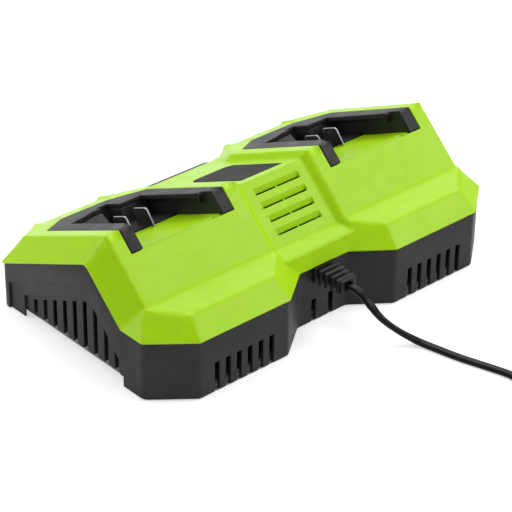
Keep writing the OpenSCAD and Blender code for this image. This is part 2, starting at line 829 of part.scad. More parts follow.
module contact_blades_left() {
    color([0.8, 0.8, 0.78]) translate([-bay_x, 0, 0]) contact_blades();
}
module contact_blades_right() {
    color([0.8, 0.8, 0.78]) translate([bay_x, 0, 0]) contact_blades();
}

// Light pipes in the windows of the front roof, each with a collar under the shell
module oblong(w, h, low, high) {
    for (side = [-1, 1]) translate([side * (w - h) / 2, 0, low]) cylinder(d = h, h = high - low);
    translate([-(w - h) / 2, -h / 2, low]) cube([w - h, h, high - low]);
}
module light_pipes() {
    fit = 0.1;
    on_front_roof() for (x = led_x) translate([x, led_s, 0]) {
        oblong(led_w - fit, led_h - fit, pipe_end, pipe_top);
        oblong(led_w + 2, led_h + 2, -shell_wall - 1, -shell_wall);
    }
}
module light_pipes_left() {
    color([0.5, 0.7, 0.2]) translate([-bay_x, 0, 0]) light_pipes();
}
module light_pipes_right() {
    color([0.5, 0.7, 0.2]) translate([bay_x, 0, 0]) light_pipes();
}

// Small boards below the windows, on pegs of the shell
module light_pegs(bay) {
    on_front_roof(bay) for (x = light_peg_x) translate([x, led_s, light_board_top]) {
        cylinder(d = 5.5, h = -light_board_top - shell_wall + 0.5);
        translate([0, 0, -light_board_t - 1]) cylinder(d = peg_d, h = light_board_t + 2);
    }
}
module light_boards() {
    color([0.1, 0.4, 0.2]) for (bay = [-bay_x, bay_x]) on_front_roof(bay) difference() {
        translate([light_board_x - light_board_w / 2, led_s - light_board_h / 2,
            light_board_top - light_board_t])
            cube([light_board_w, light_board_h, light_board_t]);
        for (x = light_peg_x) translate([x, led_s, light_board_top - 5])
            cylinder(d = peg_d, h = 10);
    }
}
module indicator_leds() {
    color([0.9, 0.9, 0.85]) for (bay = [-bay_x, bay_x]) on_front_roof(bay)
        for (x = led_x) translate([x, led_s, light_board_top]) {
            cylinder(d = 3.4, h = 0.8);
            cylinder(d = 2.8, h = pipe_end - light_board_top - 0.3);
        }
}

// Blank plate let into the middle of the front roof
module plate_outline(g) {
    side = plate_w / 2 + g;
    low = plate_top_s - plate_l - g;
    polygon([
        [-side, plate_top_s + g], [-side, low + 4], [4 - side, low], [side - 4, low],
        [side, low + 4], [side, plate_top_s + g]
    ]);
}
module name_plate() {
    color([0.1, 0.1, 0.1]) on_front_roof(0, middle_drop_front)
        translate([0, 0, plate_t - 1.4]) linear_extrude(plate_t) plate_outline(0);
}

// Main board and what stands on it
module main_board() {
    color([0.1, 0.4, 0.2]) difference() {
        translate([-board_l / 2, board_y - board_d / 2, board_z]) cube([board_l, board_d, board_t]);
        for (p = board_posts)
            translate([p[0], p[1], board_z - 1]) cylinder(d = small_screw_d + screw_room, h = 5);
    }
}
module board_screws() {
    color([0.62, 0.62, 0.6]) for (p = board_posts)
        translate([p[0], p[1], board_top]) mirror([0, 0, 1]) cross_screw(small_screw_d, 7, 5.6, 2);
}
module transformer_core() {
    color([0.2, 0.2, 0.2]) translate([core_x, core_y, board_top]) difference() {
        translate([-core_w / 2, -core_d / 2, 0]) cube([core_w, core_d, core_h]);
        for (side = [-1, 1])
            translate([side * (core_leg + window_w) / 2, 0, core_h / 2])
                cube([window_w, core_d + 2, window_h], center = true);
    }
}
module transformer_winding() {
    round_leg = 2 * window_w - 0.8;
    low = (core_h - window_h) / 2;
    color([0.85, 0.65, 0.2]) translate([core_x, core_y, board_top]) {
        difference() {
            union() {
                translate([0, 0, core_h / 2])
                    cube([core_leg + round_leg, core_d + round_leg, window_h - 0.4], center = true);
                translate([0, 0, low + 0.7])
                    cube([core_leg + round_leg, core_d + round_leg + 4, 1], center = true);
            }
            translate([0, 0, core_h / 2])
                cube([core_leg + 0.2, core_d + 0.2, core_h], center = true);
        }
        for (x = [-8, -2.7, 2.7, 8], side = [-1, 1])
            translate([x, side * ((core_d + round_leg) / 2 + 1), 0]) cylinder(d = 1, h = low + 0.7);
    }
}
module can(d, h) {
    lip = 0.6;
    rotate_extrude() polygon([
        [0, 0], [d / 2 - lip, 0], [d / 2, lip], [d / 2, 3], [d / 2 - lip, 3 + lip],
        [d / 2, 3 + 2 * lip], [d / 2, h - lip], [d / 2 - lip, h], [0, h]
    ]);
}
module bulk_capacitor() {
    color([0.15, 0.2, 0.35]) translate([26, -8, board_top]) can(22, 26);
}
module output_capacitors() {
    color([0.15, 0.2, 0.35]) for (p = [[-44, -34], [-32, -34], [-44, -22]])
        translate([p[0], p[1], board_top]) can(10, 16);
}
module heat_sink() {
    fins = 6;
    fin_t = 1.2;
    translate([-sink_w / 2, -2, 0]) cube([sink_w, 2, sink_h]);
    for (i = [0 : fins - 1])
        translate([-sink_w / 2 + i * (sink_w - fin_t) / (fins - 1), -0.5, 0])
            cube([fin_t, 8, sink_h]);
}
module heat_sinks() {
    color([0.7, 0.7, 0.72]) for (p = sink_places) translate([p[0], p[1], board_top]) heat_sink();
}
module power_transistors() {
    color([0.12, 0.12, 0.12]) for (p = sink_places, side = [-1, 1])
        translate([p[0] + side * 9, p[1] - 2, board_top]) {
            translate([-5, -4.4, 2.5]) cube([10, 4.4, 11]);
            for (i = [-1, 0, 1]) translate([i * 2.5 - 0.4, -2.6, 0]) cube([0.8, 0.6, 3]);
        }
}
module line_choke() {
    color([0.75, 0.45, 0.15]) translate([48, 20, board_top + 9]) rotate([0, 90, 0])
        rotate_extrude() translate([6.3, 0]) polygon([
            [-2, -4], [2, -4], [2.7, -3], [2.7, 3], [2, 4], [-2, 4], [-2.7, 3], [-2.7, -3]
        ]);
}
module suppression_capacitor() {
    color([0.8, 0.7, 0.2]) translate([12, 12, board_top]) {
        cube([18, 8, 13]);
        translate([0.8, 0.8, 12]) cube([16.4, 6.4, 1.6]);
    }
}
module glass_fuse() {
    cap_l = 5;
    body_l = 12;
    color([0.75, 0.75, 0.75]) translate([16, 31, board_top + 4]) rotate([0, 90, 0]) {
        cylinder(d = 4.6, h = body_l + 2 * cap_l);
        for (x = [0, body_l + cap_l]) translate([0, 0, x]) {
            cylinder(d = 5.2, h = cap_l);
            translate([0, -0.6, cap_l / 2 - 1]) cube([4, 1.2, 2]);
        }
    }
}

// Cooling fan behind the louvres, square to the rear roof
module at_fan() {
    on_rear_roof(0, middle_drop_rear) translate([0, fan_s, fan_low]) children();
}
module at_fan_holes() {
    for (x = [-fan_hole, fan_hole], y = [-fan_hole, fan_hole])
        at_fan() translate([x, y, 0]) children();
}
module fan_posts() {
    at_fan_holes() translate([0, 0, fan_depth]) difference() {
        cylinder(d = 5.6, h = fan_gap + 0.5);
        translate([0, 0, -1]) cylinder(d = small_screw_d, h = fan_gap + 1);
    }
}
module fan_frame() {
    color([0.08, 0.08, 0.08]) at_fan() {
        difference() {
            translate([-fan_side / 2, -fan_side / 2, 0]) cube([fan_side, fan_side, fan_depth]);
            translate([0, 0, -1]) cylinder(d = fan_bore_d, h = fan_depth + 2, $fn = 64);
            for (x = [-fan_hole, fan_hole], y = [-fan_hole, fan_hole])
                translate([x, y, -1]) cylinder(d = small_screw_d + screw_room, h = fan_depth + 2);
        }
        cylinder(d = fan_hub_d - 1, h = 2);
        for (a = [30, 150, 270]) rotate([0, 0, a])
            translate([fan_hub_d / 2 - 2, -1, 0]) cube([(fan_bore_d - fan_hub_d) / 2 + 2.4, 2, 1.6]);
        cylinder(d = fan_shaft_d, h = fan_depth - 1);
    }
}
module fan_rotor() {
    tip = fan_bore_d / 2 - 1.1;
    blades = 7;
    color([0.12, 0.12, 0.12]) at_fan() translate([0, 0, rotor_low]) difference() {
        union() {
            cylinder(d = fan_hub_d, h = rotor_h);
            for (i = [0 : blades - 1]) rotate([0, 0, i * 360 / blades])
                translate([fan_hub_d / 2 - 1, 0, rotor_h / 2]) rotate([40, 0, 0])
                    translate([0, -0.5, -rotor_h / 2]) cube([tip - fan_hub_d / 2, 1, rotor_h]);
        }
        translate([0, 0, -1]) cylinder(d = fan_shaft_d + 2 * fan_play, h = rotor_h + 2);
    }
}
module fan_screws() {
    color([0.62, 0.62, 0.6]) at_fan_holes()
        cross_screw(small_screw_d, fan_depth + fan_gap - 0.1, 4.6, 1.4);
}

// Ribbed strain relief: collar inside, neck in the wall, ribs on a core outside
module relief_block(y, w, h, l) {
    translate([-w / 2, y, lead_z - h / 2]) cube([w, l, h]);
}
module strain_relief() {
    rib_pitch = relief_out / relief_ribs;
    color([0.1, 0.1, 0.11]) difference() {
        union() {
            relief_block(relief_y - base_wall - 2, relief_w + 5, relief_h + 3, 2);
            relief_block(relief_y - base_wall - 0.1, relief_w, relief_h, base_wall + 0.2);
            relief_block(relief_y, cord_w + 3.4, cord_t + 2.6, relief_out);
            for (i = [0 : relief_ribs - 1])
                relief_block(relief_y + i * rib_pitch, 17.4 - i * 0.95, 10.4 - i * 0.35, 2.3);
            relief_block(relief_y + relief_out - 2.2, 12.6, 8.8, 2.2);
        }
        relief_block(relief_y - 20, cord_w, cord_t, 60);
    }
}

// Tube with a flat eight-sided section along a list of points; its width stays level
ring_shape = [[1, 0.5], [0.6, 1], [-0.6, 1], [-1, 0.5], [-1, -0.5], [-0.6, -1], [0.6, -1], [1, -0.5]];
function heading(points, i) =
    unit(points[min(i + 1, len(points) - 1)] - points[max(i - 1, 0)]);
function ring(points, i, w, h, level) =
    let(
        along = heading(points, i),
        side = unit(cross(along, level)),
        up = cross(side, along)
    )
    [for (p = ring_shape) points[i] + side * p[0] * w / 2 + up * p[1] * h / 2];
function curve_point(a, b, c, d, t) =
    0.5 * ((2 * b) + (c - a) * t + (2 * a - 5 * b + 4 * c - d) * t * t
    + (3 * b - a - 3 * c + d) * t * t * t);
function smooth(points, steps) =
    let(last = len(points) - 1)
    concat([for (i = [0 : last - 1], k = [0 : steps - 1])
        curve_point(points[max(i - 1, 0)], points[i], points[i + 1],
        points[min(i + 2, last)], k / steps)], [points[last]]);
module tube(points, w, h, level = [0, 0, 1]) {
    n = len(ring_shape);
    rings = len(points);
    verts = [for (i = [0 : rings - 1]) each ring(points, i, w, h, level)];
    walls = [for (i = [0 : rings - 2], j = [0 : n - 1]) each [
        [i * n + j, i * n + (j + 1) % n, (i + 1) * n + (j + 1) % n],
        [i * n + j, (i + 1) * n + (j + 1) % n, (i + 1) * n + j]
    ]];
    start = [for (j = [n - 1 : -1 : 0]) j];
    finish = [for (j = [0 : n - 1]) (rings - 1) * n + j];
    polyhedron(points = verts, faces = concat([start, finish], walls));
}
module cord_run() {
    color([0.08, 0.08, 0.08]) tube(cord_route, cord_w, cord_t);
}
module cord_tail() {
    color([0.08, 0.08, 0.08]) translate([coil_centre[0], coil_centre[1], coil_top])
        tube(tail_route, cord_w, cord_t);
}

// Coil of the unused lead, one solid of its outer shape, and the tie around it
module coil_ring() {
    translate([coil_centre[0], coil_centre[1], coil_low])
        rotate_extrude($fn = 64) translate([coil_in, 0]) square([coil_out - coil_in, coil_h]);
}
module cord_coil() {
    color([0.08, 0.08, 0.08]) coil_ring();
}
module cord_tie() {
    tie_w = 8;
    color([0.2, 0.2, 0.2]) difference() {
        translate([coil_centre[0], coil_centre[1], 0]) rotate([0, 0, tie_angle])
            translate([coil_in - tie_t - 0.4, -tie_w / 2, 0])
                cube([coil_out - coil_in + 2 * tie_t + 0.4, tie_w, coil_h + 2 * tie_t]);
        coil_ring();
    }
}

// Flat plug that lies on the coil: ribbed neck, grip and two round pins
module plug_body() {
    color([0.1, 0.1, 0.1]) translate(plug_at) rotate([0, 0, 180]) {
        for (i = [0 : 3]) translate([i * 3.4, -5.2 - i * 0.35, -3.6 - i * 0.25])
            cube([2, 10.4 + i * 0.7, 7.2 + i * 0.5]);
        translate([0, -4.2, -2.8]) cube([plug_neck_l + 1, 8.4, 5.6]);
        translate([plug_neck_l, 0, -plug_h / 2]) linear_extrude(plug_h) polygon([
            [0, -8], [8, -16.5], [plug_l - 3, -plug_w / 2], [plug_l, -14], [plug_l, 14],
            [plug_l - 3, plug_w / 2], [8, 16.5], [0, 8]
        ]);
    }
}
module plug_pins() {
    pin_l = 19;
    tip_l = 2;
    color([0.8, 0.78, 0.7]) for (side = [-1, 1])
        translate(plug_at + [-plug_neck_l - plug_l, side * 9.3, 0]) rotate([0, -90, 0])
            rotate_extrude() polygon([[0, 0], [2, 0], [2, pin_l - tip_l], [1.1, pin_l], [0, pin_l]]);
}

// Insulated leads inside the case
module mains_leads() {
    inner_y = relief_y - base_wall - 2;
    color([0.5, 0.3, 0.15]) for (side = [-1, 1])
        tube(smooth([
            [side * 1.5, inner_y, lead_z], [side * 2, inner_y - 6, lead_z - 0.5],
            [side * 2.5 + 2, inner_y - 12, lead_z - 5], [side * 3 + 5, inner_y - 17, lead_z - 11],
            [side * 3 + 8, inner_y - 21, board_top + 3], [side * 3 + 9, inner_y - 24, board_top + 1]
        ], 2), 2.2, 2.2, [1, 0, 0]);
}
module output_lead(x, board_x) {
    start = [x, ridge_y + blade_tail_s * cos(front_slope) - blade_low * sin(front_slope),
        ridge_z + blade_tail_s * sin(front_slope) + blade_low * cos(front_slope)];
    slide = board_x - x;
    tube(smooth([
        start, start + [slide * 0.05, 2, -5], start + [slide * 0.3, 2.5, -11],
        [x + slide * 0.65, start[1] + 2, board_top + 9],
        [x + slide * 0.95, start[1], board_top + 4], [board_x, start[1] - 0.5, board_top + 0.3]
    ], 2), 2.6, 2.6, [0, 1, 0]);
}
module output_leads_left() {
    color([0.7, 0.1, 0.1]) for (side = [-1, 1])
        output_lead(-bay_x + side * blade_pitch / 2, -bay_x + side * 3.5 + 5);
}
module output_leads_right() {
    color([0.7, 0.1, 0.1]) for (side = [-1, 1])
        output_lead(bay_x + side * blade_pitch / 2, bay_x + side * 3.5 - 5);
}

upper_shell();
lower_housing();
rail_frame_left();
rail_frame_right();
terminal_block_left();
terminal_block_right();
block_screws();
contact_blades_left();
contact_blades_right();
light_pipes_left();
light_pipes_right();
name_plate();
rubber_feet();
case_screws();
main_board();
board_screws();
light_boards();
indicator_leds();
transformer_core();
transformer_winding();
bulk_capacitor();
output_capacitors();
heat_sinks();
power_transistors();
line_choke();
suppression_capacitor();
glass_fuse();
mains_leads();
output_leads_left();
output_leads_right();
fan_frame();
fan_rotor();
fan_screws();
strain_relief();
cord_run();
cord_coil();
cord_tail();
cord_tie();
plug_body();
plug_pins();
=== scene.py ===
# %% [markdown]
# # A twin-bay battery charger
# The charger is an assembly of moulded shells, rail frames, contacts, a board and a mains lead. Its
# solids were made at their real size in CAD, and Blender opens them as a fixed frame. We could
# model everything again here, but then two models would have to be kept alike. So the frame decides
# where each piece is, and this lesson gives the pieces their rounded edges, surfaces, lead, light
# and view.

# %% Open the frame
import json
import math

import bmesh
import bpy
import numpy as np
from mathutils import Matrix, Vector
from mathutils.bvhtree import BVHTree
from mathutils.kdtree import KDTree

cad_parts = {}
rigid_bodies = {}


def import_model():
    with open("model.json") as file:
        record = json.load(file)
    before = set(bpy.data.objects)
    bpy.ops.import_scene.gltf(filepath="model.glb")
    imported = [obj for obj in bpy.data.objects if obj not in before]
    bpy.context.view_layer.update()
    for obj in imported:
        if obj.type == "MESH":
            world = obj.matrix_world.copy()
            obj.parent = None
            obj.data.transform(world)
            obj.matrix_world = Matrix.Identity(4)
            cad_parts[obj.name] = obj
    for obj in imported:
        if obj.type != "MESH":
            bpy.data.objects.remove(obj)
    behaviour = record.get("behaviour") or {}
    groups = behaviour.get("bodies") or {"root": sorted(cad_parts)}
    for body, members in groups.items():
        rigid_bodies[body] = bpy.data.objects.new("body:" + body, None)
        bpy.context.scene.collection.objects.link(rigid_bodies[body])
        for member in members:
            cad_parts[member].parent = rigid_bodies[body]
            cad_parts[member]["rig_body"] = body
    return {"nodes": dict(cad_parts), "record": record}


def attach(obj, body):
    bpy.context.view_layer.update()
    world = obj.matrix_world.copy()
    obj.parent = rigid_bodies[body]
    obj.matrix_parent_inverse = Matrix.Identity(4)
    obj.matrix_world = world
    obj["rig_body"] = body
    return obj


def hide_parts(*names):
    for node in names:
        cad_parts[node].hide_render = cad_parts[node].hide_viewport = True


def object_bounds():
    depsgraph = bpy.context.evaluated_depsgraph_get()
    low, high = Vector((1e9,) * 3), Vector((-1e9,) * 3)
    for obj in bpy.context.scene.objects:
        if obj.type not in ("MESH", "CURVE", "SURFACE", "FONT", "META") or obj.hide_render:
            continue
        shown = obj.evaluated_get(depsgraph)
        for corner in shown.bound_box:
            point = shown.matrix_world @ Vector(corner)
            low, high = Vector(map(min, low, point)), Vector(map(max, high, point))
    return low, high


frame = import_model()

MM = 0.001
cad_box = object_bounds()
slot_of = {part["node"]: part["material_slot"] for part in frame["record"]["subparts"]}
box_mm = [[round(c / MM) for c in corner] for corner in cad_box]
print(len(frame["nodes"]), "pieces; box in mm", box_mm)

# %% [markdown]
# ## The view
# The rear of the charger is seen from above and from one side, where both bays, the louvres and the
# lead show. A long lens from far away keeps the ridges nearly parallel. A camera can be aimed with a
# constraint, but then its roll is hard to set. Here the three directions of the camera are worked
# out and written into its matrix.

# %% Aim the camera
CAMERA_AT = Vector((778.6, 873.2, 729.2)) * MM
LOOKS_AT = Vector((28.3, 37.5, 42.1)) * MM
ROLL = math.radians(0.617)

forward = (LOOKS_AT - CAMERA_AT).normalized()
level_right = forward.cross(Vector((0, 0, 1))).normalized()
level_up = level_right.cross(forward)
right = level_right * math.cos(ROLL) + level_up * math.sin(ROLL)
up = level_up * math.cos(ROLL) - level_right * math.sin(ROLL)

lens = bpy.data.cameras.new("camera")
lens.sensor_fit = "HORIZONTAL"
lens.sensor_width = 36
lens.lens = 152.37
camera = bpy.data.objects.new("camera", lens)
turned_so = Matrix((right, up, -forward)).transposed().to_4x4()
camera.matrix_world = Matrix.Translation(CAMERA_AT) @ turned_so
bpy.context.scene.collection.objects.link(camera)
bpy.context.scene.camera = camera
print("camera looks", round(math.degrees(math.asin(-forward.z)), 1), "degrees down")

# %% [markdown]
# ## Where the mains lead lies
# The lead is flat: two cores side by side in one PVC jacket. It leaves the ribbed relief level,
# bends down under its own weight and then lies on the table in a loose curve. What isn't needed is
# wound into a neat coil of three layers: the first winds inwards, the second outwards on top of it,
# the third inwards again, and the last bit climbs on top, into the plug. A rope simulation could lay
# it, but the route would then change with every small edit, so the points are listed and only the
# turns of the coil are worked out.

# %% Choose the route to the coil
LEAD_WIDE = 5.6
LEAD_THICK = 3.4
EXIT = Vector((0, 90.2, 34.5))
LIES_AT = LEAD_THICK / 2 + 0.05

route = [
    EXIT, (0, 93, 34.5), (-0.3, 96, 34.2), (-0.5, 99, 33.6),
    (-0.6, 102, 32.5), (-0.6, 105, 30.9), (-0.7, 107.8, 28.9), (-1.2, 110, 27),
    (-1.9, 111.8, 24.9), (-3, 113.5, 22.8), (-4.3, 115, 20.7), (-6.2, 116.4, 18.3),
    (-8.4, 117.8, 15.8), (-11.2, 119.2, 13), (-14, 120.7, 10.3), (-17, 122.4, 7.7),
    (-19.8, 124.4, 5.4), (-22.3, 127.2, 3.5), (-24.5, 131, 2.3), (-26.2, 136, LIES_AT),
    (-27.5, 141.5, LIES_AT), (-28.9, 148, LIES_AT), (-31.2, 157, LIES_AT), (-34.4, 167, LIES_AT),
    (-37.6, 177, LIES_AT), (-40.4, 187, LIES_AT), (-40.7, 197, 1.9), (-40, 207, 2.3),
]

# %% Work out the turns of the coil
COIL_CENTRE = Vector((-74.5, 223, 0))
COIL_LAYERS = 3
OUTER_TURN = 36.7
INNER_TURN = 22
LAYER_RISE = 3.5
LAST_RISE = 3.65
FIRST_LAYER = 2.55
CLIMB = 1 / 6
ENTERS_AT = -11
TAIL_AT = 24.5
WHOLE_TURNS = 8
POINTS_PER_TURN = 36

layer_turns = (WHOLE_TURNS + (TAIL_AT - ENTERS_AT) / 360 - COIL_LAYERS * CLIMB) / COIL_LAYERS


def on_coil(turned, radius, height):
    """The point of the coil after that many turns, in mm."""
    angle = math.radians(ENTERS_AT) + math.tau * turned
    return COIL_CENTRE + Vector((radius * math.cos(angle), radius * math.sin(angle), height))


def ease(t):
    """A soft start and a soft stop between 0 and 1."""
    return t * t * (3 - 2 * t)


coil = []
turned = 0
for layer in range(COIL_LAYERS):
    start, stop = (INNER_TURN, OUTER_TURN) if layer % 2 else (OUTER_TURN, INNER_TURN)
    height = FIRST_LAYER + layer * LAYER_RISE
    steps = round(layer_turns * POINTS_PER_TURN)
    for i in range(steps + 1):
        t = i / steps
        coil.append(on_coil(turned + t * layer_turns, start + t * (stop - start), height))
    turned += layer_turns
    climb_steps = round(CLIMB * POINTS_PER_TURN)
    rise = LAYER_RISE if layer < COIL_LAYERS - 1 else LAST_RISE
    for i in range(1, climb_steps):
        t = i / climb_steps
        coil.append(on_coil(turned + t * CLIMB, stop, height + rise * ease(t)))
    turned += CLIMB
print("coil:", round(layer_turns, 2), "turns a layer,", len(coil), "points")

# %% Add the tail that ends in the plug
COIL_TOP = 11.3
PLUG_MID = 6.9
POINTS_BETWEEN = 2

tail = [COIL_CENTRE + Vector((x, y, COIL_TOP + z)) for x, y, z in (
    (20, 9.1, 1.9), (18.6, 11.7, 2.8), (16.9, 14.2, 3.8), (14.8, 16.3, 4.8), (12.3, 18.1, 5.7),
    (9.6, 19.7, 6.5), (6.6, 20.4, PLUG_MID), (3.5, 20.4, PLUG_MID),
)]


def smooth_line(points, steps):
    """More points along a smooth curve through the given ones (Catmull-Rom)."""
    line = []
    for i in range(len(points) - 1):
        before = points[max(i - 1, 0)]
        here, there = points[i], points[i + 1]
        after = points[min(i + 2, len(points) - 1)]
        for k in range(steps):
            t = k / steps
            line.append(0.5 * (
                2 * here + (there - before) * t
                + (2 * before - 5 * here + 4 * there - after) * t ** 2
                + (3 * (here - there) + after - before) * t ** 3
            ))
    return line + [points[-1]]


lead_points = [Vector(point) for point in route] + coil + tail
lead_line = [point * MM for point in smooth_line(lead_points, POINTS_BETWEEN)]

# %% [markdown]
# ## The lead's jacket
# In section the jacket is a flat eight: two round cores with a groove between them on both sides. A
# curve with a round bevel would lose the groove, so the section is swept along the line by hand. At
# every point the section stands square to the line, and its long side stays level.

# %% Sweep the jacket
GROOVE_DEPTH = 0.34
GROOVE_SPREAD = 0.62
CORE_HEIGHT = 0.1


def jacket_section(points=32):
    """The flat eight, as (across, up) in mm."""
    core = LEAD_THICK / 2
    apart = (LEAD_WIDE - LEAD_THICK) / 2
    section = []
    for i in range(points):
        angle = math.tau * i / points
        across = math.cos(angle) * core + math.copysign(apart, math.cos(angle))
        if abs(math.cos(angle)) < 1e-6:
            across = 0
        rise = math.sin(angle) * core
        waist = GROOVE_DEPTH * math.exp(-(across / GROOVE_SPREAD) ** 2)
        if abs(rise) > CORE_HEIGHT:
            rise -= math.copysign(waist, rise)
        section.append((across, rise))
    return section


def sweep(name, line, section):
    """A closed mesh of the section carried along the line."""
    mesh = bmesh.new()
    rings = []
    for i, point in enumerate(line):
        along = (line[min(i + 1, len(line) - 1)] - line[max(i - 1, 0)]).normalized()
        side = along.cross(Vector((0, 0, 1))).normalized()
        above = side.cross(along)
        rings.append([mesh.verts.new(point + (side * a + above * u) * MM) for a, u in section])
    count = len(section)
    for ring, following in zip(rings, rings[1:]):
        for k in range(count):
            after = (k + 1) % count
            mesh.faces.new((ring[k], ring[after], following[after], following[k]))
    mesh.faces.new(rings[0][::-1])
    mesh.faces.new(rings[-1])
    bmesh.ops.recalc_face_normals(mesh, faces=mesh.faces)
    data = bpy.data.meshes.new(name)
    mesh.to_mesh(data)
    mesh.free()
    data.shade_smooth()
    piece = bpy.data.objects.new(name, data)
    bpy.context.scene.collection.objects.link(piece)
    return piece


lead = sweep("mains_lead", lead_line, jacket_section())
print("lead:", len(lead.data.polygons), "faces")

# %% [markdown]
# ## How to build a surface
# Every finish below is a Principled shader fed by a few noises. They read object coordinates, which
# are metres here, so they are turned into millimetres first: a grain of 0.3 then means 0.3 mm on
# the real plastic. Image textures would need an unwrap of each shell, and noise doesn't.

# %% Make small shader helpers
def new_finish(name, roughness, **sockets):
    """A material with its node tree and its Principled shader."""
    material = bpy.data.materials.new(name)
    material.use_nodes = True
    shader = material.node_tree.nodes["Principled BSDF"]
    shader.inputs["Roughness"].default_value = roughness
    for socket, value in sockets.items():
        shader.inputs[socket.replace("_", " ")].default_value = value
    return material, material.node_tree, shader


def millimetres(tree, stretch=(1, 1, 1)):
    """The place on the piece in mm, squeezed by stretch for grain that runs one way."""
    place = tree.nodes.new("ShaderNodeTexCoord")
    scale = tree.nodes.new("ShaderNodeMapping")
    scale.inputs["Scale"].default_value = [1 / MM / s for s in stretch]
    tree.links.new(place.outputs["Object"], scale.inputs["Vector"])
    return scale.outputs["Vector"]


def cloud(tree, place, size, detail=2.0):
    """Noise from 0 to 1 whose blobs are about size mm wide."""
    noise = tree.nodes.new("ShaderNodeTexNoise")
    noise.inputs["Scale"].default_value = 1 / size
    noise.inputs["Detail"].default_value = detail
    tree.links.new(place, noise.inputs["Vector"])
    return noise.outputs["Fac"]


def between(tree, value, low, high, start=0.3, stop=0.7):
    """Turns the part of value from start to stop into numbers from low to high."""
    span = tree.nodes.new("ShaderNodeMapRange")
    limits = {"From Min": start, "From Max": stop, "To Min": low, "To Max": high}
    for socket, number in limits.items():
        span.inputs[socket].default_value = number
    tree.links.new(value, span.inputs["Value"])
    return span.outputs["Result"]


def blend_colours(tree, value, first, second):
    """A colour from first to second as value goes from 0 to 1."""
    mix = tree.nodes.new("ShaderNodeMix")
    mix.data_type = "RGBA"
    tree.links.new(value, mix.inputs["Factor"])
    for socket, colour in zip(("A", "B"), (first, second)):
        target = [s for s in mix.inputs if s.name == socket and s.type == "RGBA"][0]
        if isinstance(colour, bpy.types.NodeSocket):
            tree.links.new(colour, target)
        else:
            target.default_value = (*colour, 1)
    return [s for s in mix.outputs if s.type == "RGBA"][0]


def dent(tree, shader, height, depth):
    """Presses height into the surface, depth mm deep, on top of what is there."""
    bump = tree.nodes.new("ShaderNodeBump")
    bump.inputs["Distance"].default_value = depth * MM
    tree.links.new(height, bump.inputs["Height"])
    if shader.inputs["Normal"].is_linked:
        tree.links.new(shader.inputs["Normal"].links[0].from_socket, bump.inputs["Normal"])
    tree.links.new(bump.outputs["Normal"], shader.inputs["Normal"])


# %% [markdown]
# ## Moulded plastic
# Injection moulds are spark eroded, and the plastic copies their fine grain. The pigment also flows
# unevenly, and handling polishes some spots. So one recipe serves all the plastics: a slow mottle
# in the colour, a slower change in the gloss, and a fine grain in the surface. Each piece then has
# its own numbers, because a shell, a glass-filled rail and a cable jacket don't look alike. Most of
# them also mirror less than clear plastic does, so that dark pieces stay dark beside a white table.

# %% Mix the plastics
POLISH_SPREAD = 0.05
POLISH_SIZE = 2.7


def moulded(name, dark, light, roughness, grain, depth, mottle=9, mirror=0.5):
    """A plastic between two colours; grain, depth and mottle in mm, mirror is the specular level."""
    material, tree, shader = new_finish(name, roughness, Specular_IOR_Level=mirror)
    place = millimetres(tree)
    clouds = cloud(tree, place, mottle, 3)
    colour = blend_colours(tree, between(tree, clouds, 0, 1), dark, light)
    tree.links.new(colour, shader.inputs["Base Color"])
    polish = cloud(tree, place, mottle * POLISH_SIZE, 4)
    gloss = between(tree, polish, roughness - POLISH_SPREAD, roughness + POLISH_SPREAD)
    tree.links.new(gloss, shader.inputs["Roughness"])
    dent(tree, shader, cloud(tree, place, grain, 3), depth)
    return material


def grey(level):
    """An even grey."""
    return (level, level, level)


finish = {
    "shell_green": moulded("green_shell", (0.4, 0.73, 0), (0.435, 0.765, 0),
                           0.36, 0.35, 0.012, mirror=0.25),
    "housing_dark": moulded("dark_housing", (0.016, 0.016, 0.017), (0.022, 0.022, 0.0235),
                            0.5, 0.45, 0.03, mirror=0.25),
    "insert_dark": moulded("rail_nylon", (0.012, 0.012, 0.013), (0.018, 0.018, 0.0195),
                           0.45, 0.6, 0.02, 5, 0.25),
    "terminal_black": moulded("terminal_nylon", (0.012, 0.012, 0.013), (0.02, 0.02, 0.021),
                              0.5, 0.4, 0.02, 4),
    "plate_black": moulded("blank_plate", grey(0.011), (0.015, 0.015, 0.0155),
                           0.55, 0.2, 0.004, 6, 0.12),
    "rubber": moulded("relief_rubber", grey(0.011), grey(0.018), 0.5, 0.3, 0.02, 3, 0.25),
    "lead_black": moulded("lead_jacket", grey(0.004), grey(0.008), 0.34, 0.5, 0.006, 7, 0.15),
    "plug_black": moulded("plug_body", grey(0.014), grey(0.024), 0.42, 0.35, 0.02, 5),
    "epoxy_black": moulded("fan_and_chips", grey(0.01), grey(0.018), 0.4, 0.3, 0.01, 3),
    "ferrite": moulded("ferrite_core", (0.04, 0.04, 0.043), (0.07, 0.07, 0.075),
                       0.6, 0.25, 0.02, 2),
    "can_blue": moulded("capacitor_sleeve", (0.02, 0.035, 0.1), (0.03, 0.05, 0.13),
                        0.25, 0.8, 0.006, 6),
    "wire_red": moulded("red_wire", (0.36, 0.02, 0.015), (0.44, 0.035, 0.02),
                        0.32, 0.5, 0.004, 3),
    "wire_brown": moulded("brown_wire", (0.17, 0.06, 0.025), (0.22, 0.09, 0.035),
                          0.32, 0.5, 0.004, 3),
    "led_white": moulded("milky_lens", (0.72, 0.72, 0.64), (0.82, 0.82, 0.74),
                         0.25, 0.6, 0.002, 2),
}
print(len(finish), "plastics")

# %% [markdown]
# ## Metal, glass and the board
# The blades are nickel-plated copper that battery packs have wiped along their length. The screws
# are plated with black zinc, and the heat sinks are extruded aluminium. All are drawn or wiped in
# one direction, so their noise is stretched along it. The board has tracks under a green mask. The
# windows are clear plastic that looks nearly black as long as no lamp is lit behind them. That dark
# is painted into them as painted shade: a nearly black green.

# %% Mix the metals
STREAK_SIZE = 0.35
TARNISH_SIZE = 1.6


